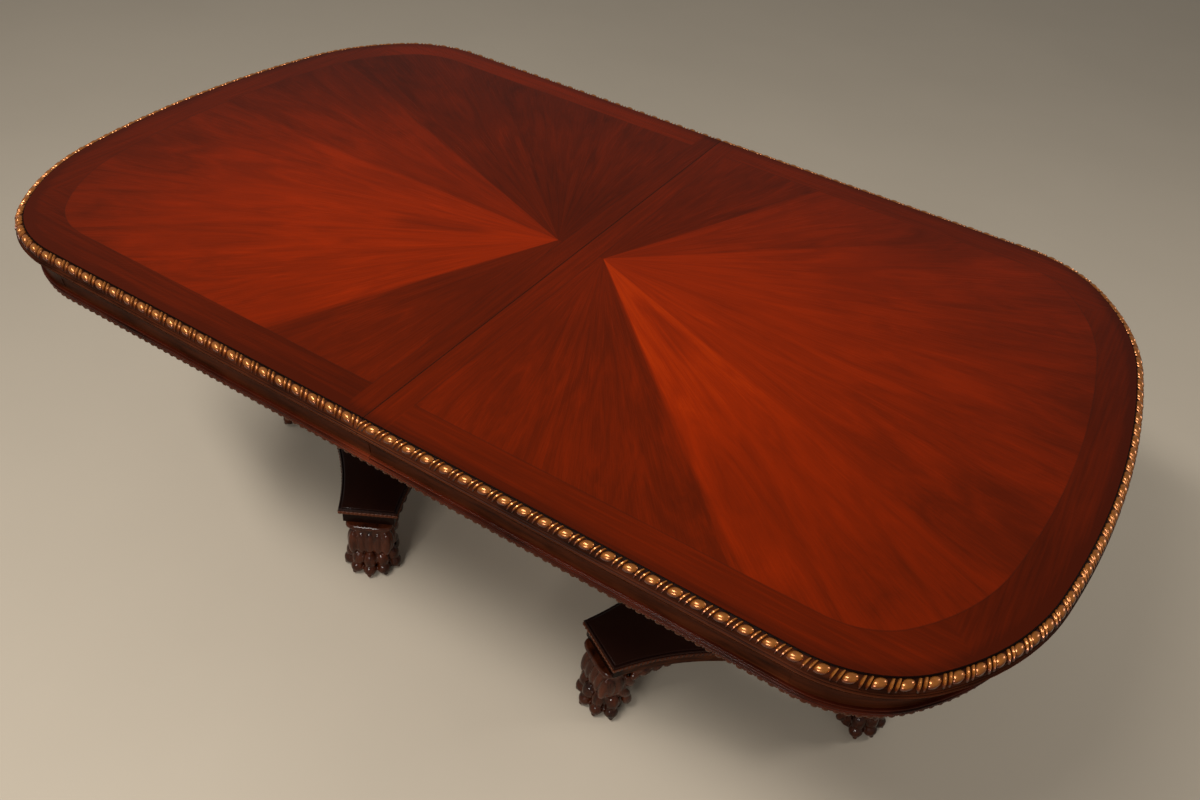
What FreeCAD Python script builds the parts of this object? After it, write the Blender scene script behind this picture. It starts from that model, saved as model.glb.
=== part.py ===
"""Double pedestal dining table with a sliding, lockable top, standing closed.

Millimetres, +Z up. X runs along the table, Y across it, and the origin is on the floor
under the middle of the top. The seam between the two halves lies in the plane X = 0.
"""
import FreeCAD, Part
import math
import os

from FreeCAD import Vector

# Table top, seen from above
TABLE_HEIGHT = 762.0
TOP_LENGTH = 1812.0
TOP_WIDTH = 1110.0
TOP_THICKNESS = 24.0
CORNER_RADIUS = 190.0
SHOULDER_RADIUS = 405.0
END_RADIUS = 1626.0
CORNER_TURN = 49.2
SEAM_GAP = 0.4

# Edge moulding round the flat, a quarter round cut in a few flats
EDGE_PROJECTION = 17.0
EDGE_QUIRK_DEPTH = 2.0
EDGE_ROUND_DROP = 13.0
EDGE_FOOT_SETBACK = 1.5
EDGE_FLATS = 3

# Apron rails under the top, their hollow face cut in a few flats
RAIL_HEIGHT = 52.0
RAIL_TOP_SETBACK = 3.0
RAIL_FOOT_SETBACK = 26.0
RAIL_BACK_SETBACK = 51.0
COVE_SAG = 7.0
COVE_FLATS = 3

# Moulding along the foot of the apron: lip, bead and band
LOWER_HEIGHT = 24.0
LOWER_LIP_PROJECTION = 4.0
LOWER_LIP_HEIGHT = 3.0
LOWER_BEAD_HEIGHT = 10.0
LOWER_BAND_SETBACK = 2.0

# Glue blocks inside the apron corners
CORNER_BLOCK_SIDE = 44.0
CORNER_BLOCK_HEIGHT = 46.0

# Wooden extension runners, three side by side in each of two sets
RUNNER_LENGTH = 1000.0
RUNNER_SHIFT = 200.0
RUNNER_WIDTH = 24.0
RUNNER_HEIGHT = 46.0
RUNNER_SPACING = 400.0
RUNNER_SEAT = 1.0
RUNNER_CLEARANCE = 0.4
TONGUE_DEPTH = 8.0
TONGUE_ROOT = 12.0
TONGUE_HEAD = 18.0
SEAT_SEAM_SETBACK = 60.0

# Dowel pins that line the halves up at the seam
PIN_RADIUS = 5.0
PIN_PROJECTION = 20.0
PIN_EMBEDDED = 25.0
PIN_SPACING = 640.0
PIN_FIT = 0.05
PIN_CLEARANCE = 0.4

# Swinging locks under the seam
LOCK_RUNNER_SPACING = 150.0
LOCK_PLATE_LENGTH = 44.0
LOCK_PLATE_WIDTH = 32.0
LOCK_PLATE_THICKNESS = 2.5
LOCK_PIVOT_SETBACK = 26.0
LOCK_PIVOT_RADIUS = 4.0
LOCK_PIVOT_FIT = 0.08
LOCK_HEAD_WIDTH = 13.0
LOCK_HEAD_HEIGHT = 3.0
LOCK_LEVER_WIDTH = 20.0
LOCK_LEVER_THICKNESS = 4.0
LOCK_LEVER_CLEARANCE = 0.4
LOCK_TAIL_LENGTH = 46.0
LOCK_OPEN_ANGLE = 100.0
KEEPER_SETBACK = 24.0
KEEPER_WIDTH = 7.0
KEEPER_CLEARANCE = 2.2

# Bearers and top block that hold each pedestal to its half
PEDESTAL_SPACING = 850.0
BEARER_SPACING = 220.0
BEARER_WIDTH = 56.0
BEARER_CLEARANCE = 12.0
BLOCK_SIDE = 300.0
BLOCK_THICKNESS = 28.0
BLOCK_CORNER_CUT = 24.0

# Turned column, its round laid out in narrow flats
COLUMN_SIDES = 28
COLUMN_BASE_RADIUS = 98.0
COLUMN_BASE_HEIGHT = 22.0
COLUMN_COVE_RADIUS = 60.0
COLUMN_COVE_HEIGHT = 30.0
VASE_HEIGHT = 210.0
VASE_RADIUS = 88.0
NECK_RADIUS = 46.0
RING_RADIUS = 62.0
RING_HEIGHT = 22.0
SHAFT_TOP_RADIUS = 58.0
CAPITAL_RADIUS = 87.0
CAPITAL_HEIGHT = 26.0
TURNING_CHAMFER = 8.0

# Tie rod through the column, with a nut at each end
ROD_RADIUS = 6.0
ROD_FIT = 0.3
NUT_WIDTH = 19.0
NUT_HEIGHT = 10.0

# Three-armed platform with hollowed sides
PLATFORM_HEIGHT = 181.0
PLATFORM_REACH = 314.0
PLATFORM_WAIST_RADIUS = 148.0
ARM_NAMES = ("outer", "far", "near")
ARM_WIDTH = 116.0
SLAB_THICKNESS = 15.0
SLAB_CHAMFER = 4.0
BODY_THICKNESS = 27.0
BODY_SETBACK = 7.0

# Paw feet under the arm ends, carved in flats: a broad block with a ledge, and five toes
PAW_REACH = 322.0
PAW_WIDTH = 96.0
PAW_DEPTH = 64.0
PAW_CORNER_CUT = 20.0
PAW_LEDGE_HEIGHT = 9.0
PAW_NECK_INSET = 9.0
PAW_NECK_DROP = 22.0
PAW_BALL_INSET = 5.0
PAW_BALL_HEIGHT = 54.0
PAW_SOLE_INSET = 12.0
TOE_COUNT = 5
TOE_FAN = 64.0
TOE_WIDTH = 24.0
TOE_KNUCKLE_REACH = 40.0
TOE_KNUCKLE_HEIGHT = 60.0
TOE_TIP_REACH = 48.0
TOE_SIDES = 6

# Leaf-shaped brackets behind the paws, flaring with the platform's hollow sides
BRACKET_LENGTH = 118.0
BRACKET_DEPTH = 50.0
BRACKET_FRONT_WIDTH = 98.0
BRACKET_BACK_WIDTH = 156.0
BRACKET_LOBES = 4
BRACKET_LOBE_SAG = 4.0

# Glides under the paws
GLIDE_SIDES = 12
GLIDE_RADIUS = 11.0
GLIDE_HEIGHT = 3.0

# Levels that the pieces share
top_underside = TABLE_HEIGHT - TOP_THICKNESS
rail_foot = top_underside - RAIL_HEIGHT
apron_foot = rail_foot - LOWER_HEIGHT
runner_top = top_underside - RUNNER_SEAT
block_top = top_underside - RUNNER_HEIGHT
block_foot = block_top - BLOCK_THICKNESS
slab_foot = PLATFORM_HEIGHT - SLAB_THICKNESS
body_foot = slab_foot - BODY_THICKNESS
pedestal_x = PEDESTAL_SPACING / 2
arm_turn = 360.0 / len(ARM_NAMES)
arm_angles = {name: k * arm_turn for k, name in enumerate(ARM_NAMES)}
seam_x = SEAM_GAP / 2

os.makedirs("parts", exist_ok=True)


def save(name, shape):
    shape.exportStep("parts/" + name + ".step")


def half_turn(shape):
    """The same piece on the other half of the table, turned round the middle."""
    turned = shape.copy()
    turned.rotate(Vector(0, 0, 0), Vector(0, 0, 1), 180)
    return turned


def fuse_all(solids):
    return solids[0].multiFuse(solids[1:]).removeSplitter() if len(solids) > 1 else solids[0]


def sewn(faces):
    """The solid that a closed set of faces bounds."""
    shell = Part.Shell(faces)
    shell.sewShape()
    solid = Part.Solid(shell)
    if solid.Volume < 0:
        solid.reverse()
    return solid


def flat_ring(x, z, radius, sides):
    """Corners of a level ring of flats that touch the circle of that radius from outside."""
    corner = radius / math.cos(math.pi / sides)
    turns = [math.pi * (2 * k + 1) / sides for k in range(sides)]
    return [Vector(x + corner * math.cos(t), corner * math.sin(t), z) for t in turns]


def flat_sided(rings):
    """A solid of flat faces between level rings of corners, closed at both ends."""
    loops = [rings[0], rings[-1]]
    for low, high in zip(rings, rings[1:]):
        loops.extend([low[k - 1], low[k], high[k], high[k - 1]] for k in range(len(low)))
    return sewn([Part.Face(Part.makePolygon(loop + loop[:1])) for loop in loops])


def box(x_range, y_range, z_range):
    size = [r[1] - r[0] for r in (x_range, y_range, z_range)]
    return Part.makeBox(*size, Vector(x_range[0], y_range[0], z_range[0]))


def cylinder(radius, z_low, z_high, x=0.0, y=0.0):
    return Part.makeCylinder(radius, z_high - z_low, Vector(x, y, z_low))


# Plan of the flat top: straight sides, tight corners, wide shoulders, bowed end
half_flat_length = TOP_LENGTH / 2 - EDGE_PROJECTION
half_flat_width = TOP_WIDTH / 2 - EDGE_PROJECTION
turn_angle = 90.0 - CORNER_TURN
turn_sine = math.sin(math.radians(turn_angle))
end_sine = half_flat_width - SHOULDER_RADIUS * turn_sine - CORNER_RADIUS * (1 - turn_sine)
end_angle = math.degrees(math.asin(end_sine / (END_RADIUS - SHOULDER_RADIUS)))


def polar(centre, radius, angle):
    turn = math.radians(angle)
    return Vector(centre.x + radius * math.cos(turn), centre.y + radius * math.sin(turn), 0)


end_centre = Vector(half_flat_length - END_RADIUS, 0, 0)
shoulder_centre = polar(end_centre, END_RADIUS - SHOULDER_RADIUS, end_angle)
corner_centre = polar(shoulder_centre, SHOULDER_RADIUS - CORNER_RADIUS, turn_angle)
side_end_x = corner_centre.x


def mirrored(point):
    return Vector(point.x, -point.y, point.z)


# The curved stretches of one half, from the near side round the end to the far side:
# centre, radius, first angle and last angle
end_arcs = [
    (mirrored(corner_centre), CORNER_RADIUS, -90.0, -turn_angle),
    (mirrored(shoulder_centre), SHOULDER_RADIUS, -turn_angle, -end_angle),
    (end_centre, END_RADIUS, -end_angle, end_angle),
    (shoulder_centre, SHOULDER_RADIUS, end_angle, turn_angle),
    (corner_centre, CORNER_RADIUS, turn_angle, 90.0),
]


def flat_outline():
    edges = []
    near = Vector(seam_x, -half_flat_width, 0)
    far = Vector(seam_x, half_flat_width, 0)
    edges.append(Part.makeLine(near, Vector(side_end_x, -half_flat_width, 0)))
    for centre, radius, first, last in end_arcs:
        points = [polar(centre, radius, a) for a in (first, (first + last) / 2, last)]
        edges.append(Part.Arc(*points).toShape())
    edges.append(Part.makeLine(Vector(side_end_x, half_flat_width, 0), far))
    edges.append(Part.makeLine(far, near))
    return Part.Wire(edges)


def section_edges(section, place):
    """Edges round a section of (out, z) points."""
    points = [place(*point) for point in section]
    return [Part.makeLine(points[k - 1], points[k]) for k in range(len(points))]


def side_place(x, side):
    """Where section points go beside a straight side, side -1 near and +1 far."""
    return lambda out, z: Vector(x, side * (half_flat_width + out), z)


def arc_place(centre, radius, angle):
    """Where section points go at an angle of one of the end's arcs."""
    turn = math.radians(angle)
    across, along = math.sin(turn), math.cos(turn)
    return lambda out, z: Vector(centre.x + (radius + out) * along, centre.y + (radius + out) * across, z)


def straight_run(section, side):
    """The section run along one straight side."""
    face = Part.Face(Part.Wire(section_edges(section, side_place(seam_x, side))))
    return face.extrude(Vector(side_end_x - seam_x, 0, 0))


def round_end(section, with_sides):
    """The section run round the curved end of one half, and along both straight sides if asked."""
    side_run = Vector(side_end_x - seam_x, 0, 0)
    first_place = arc_place(*end_arcs[0][:3])
    last_place = arc_place(end_arcs[-1][0], end_arcs[-1][1], end_arcs[-1][3])
    faces = []
    for centre, radius, first, last in end_arcs:
        for edge in section_edges(section, arc_place(centre, radius, first)):
            faces.append(edge.revolve(centre, Vector(0, 0, 1), last - first))
    if with_sides:
        first_place = side_place(seam_x, -1)
        last_place = side_place(seam_x, 1)
        for place in (first_place, last_place):
            faces.extend(edge.extrude(side_run) for edge in section_edges(section, place))
    for place in (first_place, last_place):
        faces.append(Part.Face(Part.Wire(section_edges(section, place))))
    return sewn(faces)


# Top panels: the right one holds the seam pins, the left one has their sockets
pin_z = TABLE_HEIGHT - TOP_THICKNESS / 2
pin_places = [-PIN_SPACING / 2, PIN_SPACING / 2]
blank = Part.Face(flat_outline()).extrude(Vector(0, 0, TOP_THICKNESS))
blank.translate(Vector(0, 0, top_underside))


def seam_rod(radius, x_low, x_high, y):
    return Part.makeCylinder(radius, x_high - x_low, Vector(x_low, y, pin_z), Vector(1, 0, 0))


socket_end = -PIN_PROJECTION - PIN_CLEARANCE
right_holes = [seam_rod(PIN_RADIUS + PIN_FIT, 0.0, PIN_EMBEDDED, y) for y in pin_places]
left_holes = [seam_rod(PIN_RADIUS + PIN_CLEARANCE, socket_end, 0.0, y) for y in pin_places]
pins = [seam_rod(PIN_RADIUS, -PIN_PROJECTION, PIN_EMBEDDED, y) for y in pin_places]
save("right_top_panel", blank.cut(right_holes))
save("left_top_panel", half_turn(blank).cut(left_holes))
save("seam_pins", Part.makeCompound(pins))

# Edge moulding, laid against the flat's edge
round_top = TABLE_HEIGHT - EDGE_QUIRK_DEPTH
round_foot = round_top - EDGE_ROUND_DROP
edge_section = [(0.0, top_underside)]
for k in range(EDGE_FLATS + 1):
    turn = math.pi / 2 * k / EDGE_FLATS
    edge_section.append((EDGE_PROJECTION * math.sin(turn), round_foot + EDGE_ROUND_DROP * math.cos(turn)))
edge_section.append((EDGE_PROJECTION - EDGE_FOOT_SETBACK, top_underside))
edge = round_end(edge_section, True)
save("right_edge_moulding", edge)
save("left_edge_moulding", half_turn(edge))

# Apron rails with a hollow face, two straight and one bent round the end
cove_top = Vector(EDGE_PROJECTION - RAIL_TOP_SETBACK, top_underside, 0)
cove_foot = Vector(EDGE_PROJECTION - RAIL_FOOT_SETBACK, rail_foot, 0)
cove_chord = cove_foot - cove_top
cove_inward = Vector(cove_chord.y, -cove_chord.x, 0).normalize()
rail_back = EDGE_PROJECTION - RAIL_BACK_SETBACK
rail_section = [(rail_back, rail_foot), (rail_back, top_underside)]
for k in range(COVE_FLATS + 1):
    share = k / COVE_FLATS
    point = cove_top + cove_chord * share + cove_inward * (COVE_SAG * 4 * share * (1 - share))
    rail_section.append((point.x, point.y))
near_rail = straight_run(rail_section, -1)
far_rail = straight_run(rail_section, 1)
end_rail = round_end(rail_section, False)
save("right_near_rail", near_rail)
save("right_far_rail", far_rail)
save("right_end_rail", end_rail)
save("left_near_rail", half_turn(far_rail))
save("left_far_rail", half_turn(near_rail))
save("left_end_rail", half_turn(end_rail))

# Lower moulding, under the rails
lip_out = cove_foot.x + LOWER_LIP_PROJECTION
lip_foot = rail_foot - LOWER_LIP_HEIGHT
bead_foot = lip_foot - LOWER_BEAD_HEIGHT
lower_section = [
    (rail_back, apron_foot),
    (rail_back, rail_foot),
    (lip_out, rail_foot),
    (lip_out, (lip_foot + bead_foot) / 2),
    (cove_foot.x, bead_foot),
    (lip_out - LOWER_BAND_SETBACK, apron_foot),
]
lower = round_end(lower_section, True)
save("right_lower_moulding", lower)
save("left_lower_moulding", half_turn(lower))

# Glue blocks behind the joints of straight and bent rails
inner_y = half_flat_width + rail_back


def corner_block(side):
    x_range = (side_end_x - CORNER_BLOCK_SIDE, side_end_x)
    y_range = sorted((side * inner_y, side * (inner_y - CORNER_BLOCK_SIDE)))
    block = box(x_range, y_range, (top_underside - CORNER_BLOCK_HEIGHT, top_underside))
    inner_edges = [
        e for e in block.Edges
        if abs(e.CenterOfMass.x - x_range[0]) < 1e-6
        and abs(e.CenterOfMass.y - side * (inner_y - CORNER_BLOCK_SIDE)) < 1e-6
    ]
    return block.makeChamfer(CORNER_BLOCK_SIDE / 2, inner_edges)


blocks = Part.makeCompound([corner_block(-1), corner_block(1)])
save("right_corner_blocks", blocks)
save("left_corner_blocks", half_turn(blocks))

# Extension runners: the middle one has a dovetail tongue on each face
pack_step = RUNNER_WIDTH + RUNNER_CLEARANCE
runner_foot = runner_top - RUNNER_HEIGHT + RUNNER_SEAT
runner_middle = (runner_top + runner_foot) / 2


def runner_blank(x_middle, y):
    half = RUNNER_LENGTH / 2
    y_range = (y - RUNNER_WIDTH / 2, y + RUNNER_WIDTH / 2)
    return box((x_middle - half, x_middle + half), y_range, (runner_foot, runner_top))


def dovetail(x_middle, y, side, grow):
    """Dovetail along a runner's face; grow widens it into the groove that takes it."""
    root_y = y + side * (RUNNER_WIDTH / 2 - RUNNER_CLEARANCE)
    head_y = y + side * (RUNNER_WIDTH / 2 + TONGUE_DEPTH + grow)
    x_low = x_middle - RUNNER_LENGTH / 2
    corners = [
        Vector(x_low, root_y, runner_middle - TONGUE_ROOT / 2 - grow),
        Vector(x_low, head_y, runner_middle - TONGUE_HEAD / 2 - grow),
        Vector(x_low, head_y, runner_middle + TONGUE_HEAD / 2 + grow),
        Vector(x_low, root_y, runner_middle + TONGUE_ROOT / 2 + grow),
    ]
    face = Part.Face(Part.makePolygon(corners + corners[:1]))
    return face.extrude(Vector(RUNNER_LENGTH, 0, 0))


def runner_set(y, left_side):
    """Runners of one set: left_side is the side of the middle runner where the left half's runner lies."""
    middle = runner_blank(0.0, y)
    middle = fuse_all([middle, dovetail(0.0, y, -1, 0.0), dovetail(0.0, y, 1, 0.0)])
    outers = []
    for half, side in ((-1, left_side), (1, -left_side)):
        x_middle = half * RUNNER_SHIFT
        outer_y = y + side * pack_step
        groove = dovetail(x_middle, y, side, RUNNER_CLEARANCE)
        outer = runner_blank(x_middle, outer_y).cut(groove)
        x_ends = sorted((half * SEAT_SEAM_SETBACK, x_middle + half * RUNNER_LENGTH / 2))
        y_range = (outer_y - RUNNER_WIDTH / 2, outer_y + RUNNER_WIDTH / 2)
        seat = box(x_ends, y_range, (runner_top, top_underside))
        outers.append(fuse_all([outer, seat]))
    return outers[0], middle, outers[1]


for name, y, left_side in (("near", -RUNNER_SPACING / 2, -1), ("far", RUNNER_SPACING / 2, -1)):
    left_runner, middle_runner, right_runner = runner_set(y, left_side)
    save(name + "_runner_left", left_runner)
    save(name + "_runner_middle", middle_runner)
    save(name + "_runner_right", right_runner)

# Locks: plate, pivot and lever on the left half, keeper on the right half
plate_foot = top_underside - LOCK_PLATE_THICKNESS
lever_top = plate_foot - LOCK_LEVER_CLEARANCE
lever_foot = lever_top - LOCK_LEVER_THICKNESS
head_top = lever_foot - LOCK_LEVER_CLEARANCE
lever_half = LOCK_LEVER_WIDTH / 2
slot_half = KEEPER_WIDTH / 2 + KEEPER_CLEARANCE


def hexagon(width, z_low, z_high, x=0.0, y=0.0):
    corners = [polar(Vector(x, y, 0), width / math.sqrt(3), 60 * k) for k in range(7)]
    prism = Part.Face(Part.makePolygon(corners)).extrude(Vector(0, 0, z_high - z_low))
    prism.translate(Vector(0, 0, z_low))
    return prism


def lock_plate(y, x_sign):
    x_range = sorted((x_sign * seam_x, x_sign * LOCK_PLATE_LENGTH))
    half = LOCK_PLATE_WIDTH / 2
    return box(x_range, (y - half, y + half), (plate_foot, top_underside))


def lock_pivot(y):
    stem = cylinder(LOCK_PIVOT_RADIUS, head_top, plate_foot, -LOCK_PIVOT_SETBACK, y)
    head = hexagon(LOCK_HEAD_WIDTH, head_top - LOCK_HEAD_HEIGHT, head_top, -LOCK_PIVOT_SETBACK, y)
    return fuse_all([stem, head])


def lock_lever(y):
    """Flat hooked bar with a narrow tail, drawn shut and then swung open, as it rests."""
    pivot_x = -LOCK_PIVOT_SETBACK
    hook_x = KEEPER_SETBACK + slot_half + lever_half / 2
    outline = [
        (pivot_x - LOCK_TAIL_LENGTH, -lever_half / 2),
        (pivot_x - lever_half, -lever_half),
        (hook_x, -lever_half),
        (hook_x, lever_half),
        (KEEPER_SETBACK + slot_half, lever_half),
        (KEEPER_SETBACK + slot_half, -slot_half),
        (KEEPER_SETBACK - slot_half, -slot_half),
        (KEEPER_SETBACK - slot_half, lever_half),
        (pivot_x - lever_half, lever_half),
        (pivot_x - LOCK_TAIL_LENGTH, lever_half / 2),
    ]
    points = [Vector(x, y + across, lever_foot) for x, across in outline]
    lever = Part.Face(Part.makePolygon(points + points[:1])).extrude(Vector(0, 0, LOCK_LEVER_THICKNESS))
    lever = lever.cut(cylinder(LOCK_PIVOT_RADIUS + LOCK_PIVOT_FIT, lever_foot, lever_top, pivot_x, y))
    lever.rotate(Vector(pivot_x, y, 0), Vector(0, 0, 1), -LOCK_OPEN_ANGLE)
    return lever


def lock_keeper(y):
    """Plate with a six-sided post that the hook swings round."""
    return fuse_all([lock_plate(y, 1), hexagon(KEEPER_WIDTH, head_top, plate_foot, KEEPER_SETBACK, y)])


lock_y = RUNNER_SPACING / 2 + LOCK_RUNNER_SPACING
lock_places = {"near": -lock_y, "far": lock_y}
save("lock_plates", Part.makeCompound([lock_plate(y, -1) for y in lock_places.values()]))
save("lock_pivots", Part.makeCompound([lock_pivot(y) for y in lock_places.values()]))
save("lock_keepers", Part.makeCompound([lock_keeper(y) for y in lock_places.values()]))
for name, y in lock_places.items():
    save(name + "_lock_lever", lock_lever(y))

# Bearers across the underside, between the runner sets
bearer_half = RUNNER_SPACING / 2 - 1.5 * pack_step - BEARER_CLEARANCE


def bearer(side):
    x_middle = side * BEARER_SPACING / 2
    x_range = (x_middle - BEARER_WIDTH / 2, x_middle + BEARER_WIDTH / 2)
    return box(x_range, (-bearer_half, bearer_half), (block_top, top_underside))


# Top block with cut corners
half_block = BLOCK_SIDE / 2
rod_hole = cylinder(ROD_RADIUS + ROD_FIT, body_foot, block_top)
top_block = box((-half_block, half_block), (-half_block, half_block), (block_foot, block_top))
upright = [e for e in top_block.Edges if abs(e.tangentAt(e.FirstParameter).z) > 0.9]
top_block = top_block.makeChamfer(BLOCK_CORNER_CUT, upright).cut(rod_hole)

# Turned column: foot ring, cove, vase, neck ring, tapered shaft and capital
cove_foot_z = PLATFORM_HEIGHT + COLUMN_BASE_HEIGHT
vase_foot_z = cove_foot_z + COLUMN_COVE_HEIGHT
ring_foot_z = vase_foot_z + VASE_HEIGHT
shaft_foot_z = ring_foot_z + RING_HEIGHT
capital_foot_z = block_foot - CAPITAL_HEIGHT
belly_low_z = vase_foot_z + VASE_HEIGHT * 0.3
belly_high_z = vase_foot_z + VASE_HEIGHT * 0.5
turning = [
    (COLUMN_BASE_RADIUS - TURNING_CHAMFER, PLATFORM_HEIGHT),
    (COLUMN_BASE_RADIUS, PLATFORM_HEIGHT + COLUMN_BASE_HEIGHT / 2),
    (COLUMN_BASE_RADIUS - TURNING_CHAMFER, cove_foot_z),
    (COLUMN_COVE_RADIUS, vase_foot_z),
    (VASE_RADIUS, belly_low_z),
    (VASE_RADIUS, belly_high_z),
    (NECK_RADIUS, ring_foot_z),
    (RING_RADIUS, (ring_foot_z + shaft_foot_z) / 2),
    (NECK_RADIUS, shaft_foot_z),
    (SHAFT_TOP_RADIUS, capital_foot_z),
    (CAPITAL_RADIUS, capital_foot_z + TURNING_CHAMFER),
    (CAPITAL_RADIUS, block_foot),
]
column = flat_sided([flat_ring(0.0, z, radius, COLUMN_SIDES) for radius, z in turning]).cut(rod_hole)

# Tie rod with its nuts run on, one under the platform and one on the top block
rod = fuse_all([
    cylinder(ROD_RADIUS, body_foot - NUT_HEIGHT, block_top + NUT_HEIGHT),
    hexagon(NUT_WIDTH, body_foot - NUT_HEIGHT, body_foot),
    hexagon(NUT_WIDTH, block_top, block_top + NUT_HEIGHT),
])

# Platform: three arms with square ends and hollow sides between them


def platform_prism(setback, z_low, z_high):
    reach = PLATFORM_REACH - setback
    half = ARM_WIDTH / 2 - setback
    origin = Vector(0, 0, 0)
    corner_radius = math.hypot(reach, half)
    corner_angle = math.degrees(math.atan2(half, reach))
    edges = []
    for arm in sorted(arm_angles.values()):
        first = polar(origin, corner_radius, arm - corner_angle)
        last = polar(origin, corner_radius, arm + corner_angle)
        waist = polar(origin, PLATFORM_WAIST_RADIUS - setback, arm + arm_turn / 2)
        following = polar(origin, corner_radius, arm + arm_turn - corner_angle)
        edges.append(Part.makeLine(first, last))
        edges.append(Part.Arc(last, waist, following).toShape())
    prism = Part.Face(Part.Wire(edges)).extrude(Vector(0, 0, z_high - z_low))
    prism.translate(Vector(0, 0, z_low))
    return prism


slab = platform_prism(0.0, slab_foot, PLATFORM_HEIGHT)
slab_rim = [e for e in slab.Edges if abs(e.CenterOfMass.z - PLATFORM_HEIGHT) < 1e-6]
slab = slab.makeChamfer(SLAB_CHAMFER, slab_rim).cut(rod_hole)
body = platform_prism(BODY_SETBACK, body_foot, slab_foot).cut(rod_hole)

# Paw foot, made on the arm that points along +X and turned to the other arms
paw_centre = PAW_REACH - PAW_WIDTH / 2
paw_back = PAW_REACH - PAW_DEPTH
ledge_foot_z = body_foot - PAW_LEDGE_HEIGHT


def paw_ring(z, inset):
    """Corners of the paw block at one level, set in from the ledge at the front and the sides."""
    front = PAW_REACH - inset
    half = PAW_WIDTH / 2 - inset
    cut = PAW_CORNER_CUT
    side = [(paw_back, half), (front - cut, half), (front, half - cut)]
    outline = side + [(x, -y) for x, y in reversed(side)]
    return [Vector(x, y, z) for x, y in outline]


paw_block = flat_sided([
    paw_ring(GLIDE_HEIGHT, PAW_SOLE_INSET),
    paw_ring(GLIDE_HEIGHT + PAW_BALL_HEIGHT, PAW_BALL_INSET),
    paw_ring(ledge_foot_z - PAW_NECK_DROP, PAW_NECK_INSET),
    paw_ring(ledge_foot_z, 0.0),
    paw_ring(body_foot, 0.0),
])


def toe(angle):
    """One toe, leaning out from the knuckle down to the floor and rounded off at both ends in flats."""
    half = TOE_WIDTH / 2
    knuckle_z = GLIDE_HEIGHT + TOE_KNUCKLE_HEIGHT
    solid = flat_sided([
        flat_ring(TOE_TIP_REACH, GLIDE_HEIGHT, half * 0.6, TOE_SIDES),
        flat_ring(TOE_TIP_REACH, GLIDE_HEIGHT + half, half, TOE_SIDES),
        flat_ring(TOE_KNUCKLE_REACH, knuckle_z, half, TOE_SIDES),
        flat_ring(TOE_KNUCKLE_REACH - half, knuckle_z + half, half * 0.5, TOE_SIDES),
    ])
    solid.rotate(Vector(0, 0, 0), Vector(0, 0, 1), angle)
    solid.translate(Vector(paw_centre, 0, 0))
    return solid


toe_angles = [TOE_FAN * (2 * k / (TOE_COUNT - 1) - 1) for k in range(TOE_COUNT)]
paw = fuse_all([paw_block] + [toe(a) for a in toe_angles])

# Bracket behind the paw, its lower edge cut in leaf lobes that climb to the arm's underside


def bracket_shape():
    back = paw_back - BRACKET_LENGTH
    front_half, back_half = BRACKET_FRONT_WIDTH / 2, BRACKET_BACK_WIDTH / 2
    tips = []
    for k in range(BRACKET_LOBES + 1):
        share = k / BRACKET_LOBES
        depth = BRACKET_DEPTH * (1 - share) ** 1.6
        tips.append(Vector(paw_back - share * BRACKET_LENGTH, -back_half, body_foot - depth))
    points = [Vector(paw_back, -back_half, body_foot), tips[0]]
    for first, second in zip(tips, tips[1:]):
        points.append((first + second) * 0.5 - Vector(0, 0, BRACKET_LOBE_SAG))
        points.append(second)
    lobed = Part.Face(Part.makePolygon(points + points[:1])).extrude(Vector(0, BRACKET_BACK_WIDTH, 0))
    plan = [(paw_back, front_half), (back, back_half), (back, -back_half), (paw_back, -front_half)]
    flare = Part.makePolygon([Vector(x, y, 0) for x, y in plan + plan[:1]])
    return lobed.common(Part.Face(flare).extrude(Vector(0, 0, body_foot)))


bracket = bracket_shape()

# Glide under the sole
glide = flat_sided([flat_ring(paw_centre, z, GLIDE_RADIUS, GLIDE_SIDES) for z in (0.0, GLIDE_HEIGHT)])


def on_arm(shape, angle):
    turned = shape.copy()
    turned.rotate(Vector(0, 0, 0), Vector(0, 0, 1), angle)
    return turned


# Both pedestals, the left one turned half round
pedestal_nodes = {
    "bearers": Part.makeCompound([bearer(-1), bearer(1)]),
    "top_block": top_block,
    "column": column,
    "tie_rod": rod,
    "platform_slab": slab,
    "platform_body": body,
    "glides": Part.makeCompound([on_arm(glide, a) for a in arm_angles.values()]),
}
for arm, angle in arm_angles.items():
    pedestal_nodes[arm + "_paw"] = on_arm(paw, angle)
    pedestal_nodes[arm + "_bracket"] = on_arm(bracket, angle)

swapped = {"near": "far", "far": "near"}
for name, shape in pedestal_nodes.items():
    placed = shape.copy()
    placed.translate(Vector(pedestal_x, 0, 0))
    save("right_" + name, placed)
    first, *rest = name.split("_")
    opposite = "_".join([swapped.get(first, first)] + rest)
    save("left_" + opposite, half_turn(placed))
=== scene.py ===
"""Looks of the double pedestal dining table: carved paw feet, hollow-sided platforms, turned columns,
a coved apron, a gadrooned edge and a top veneered in rays. Metres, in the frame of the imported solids."""
import math

import bmesh
import bpy
from mathutils import Matrix, Vector


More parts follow.
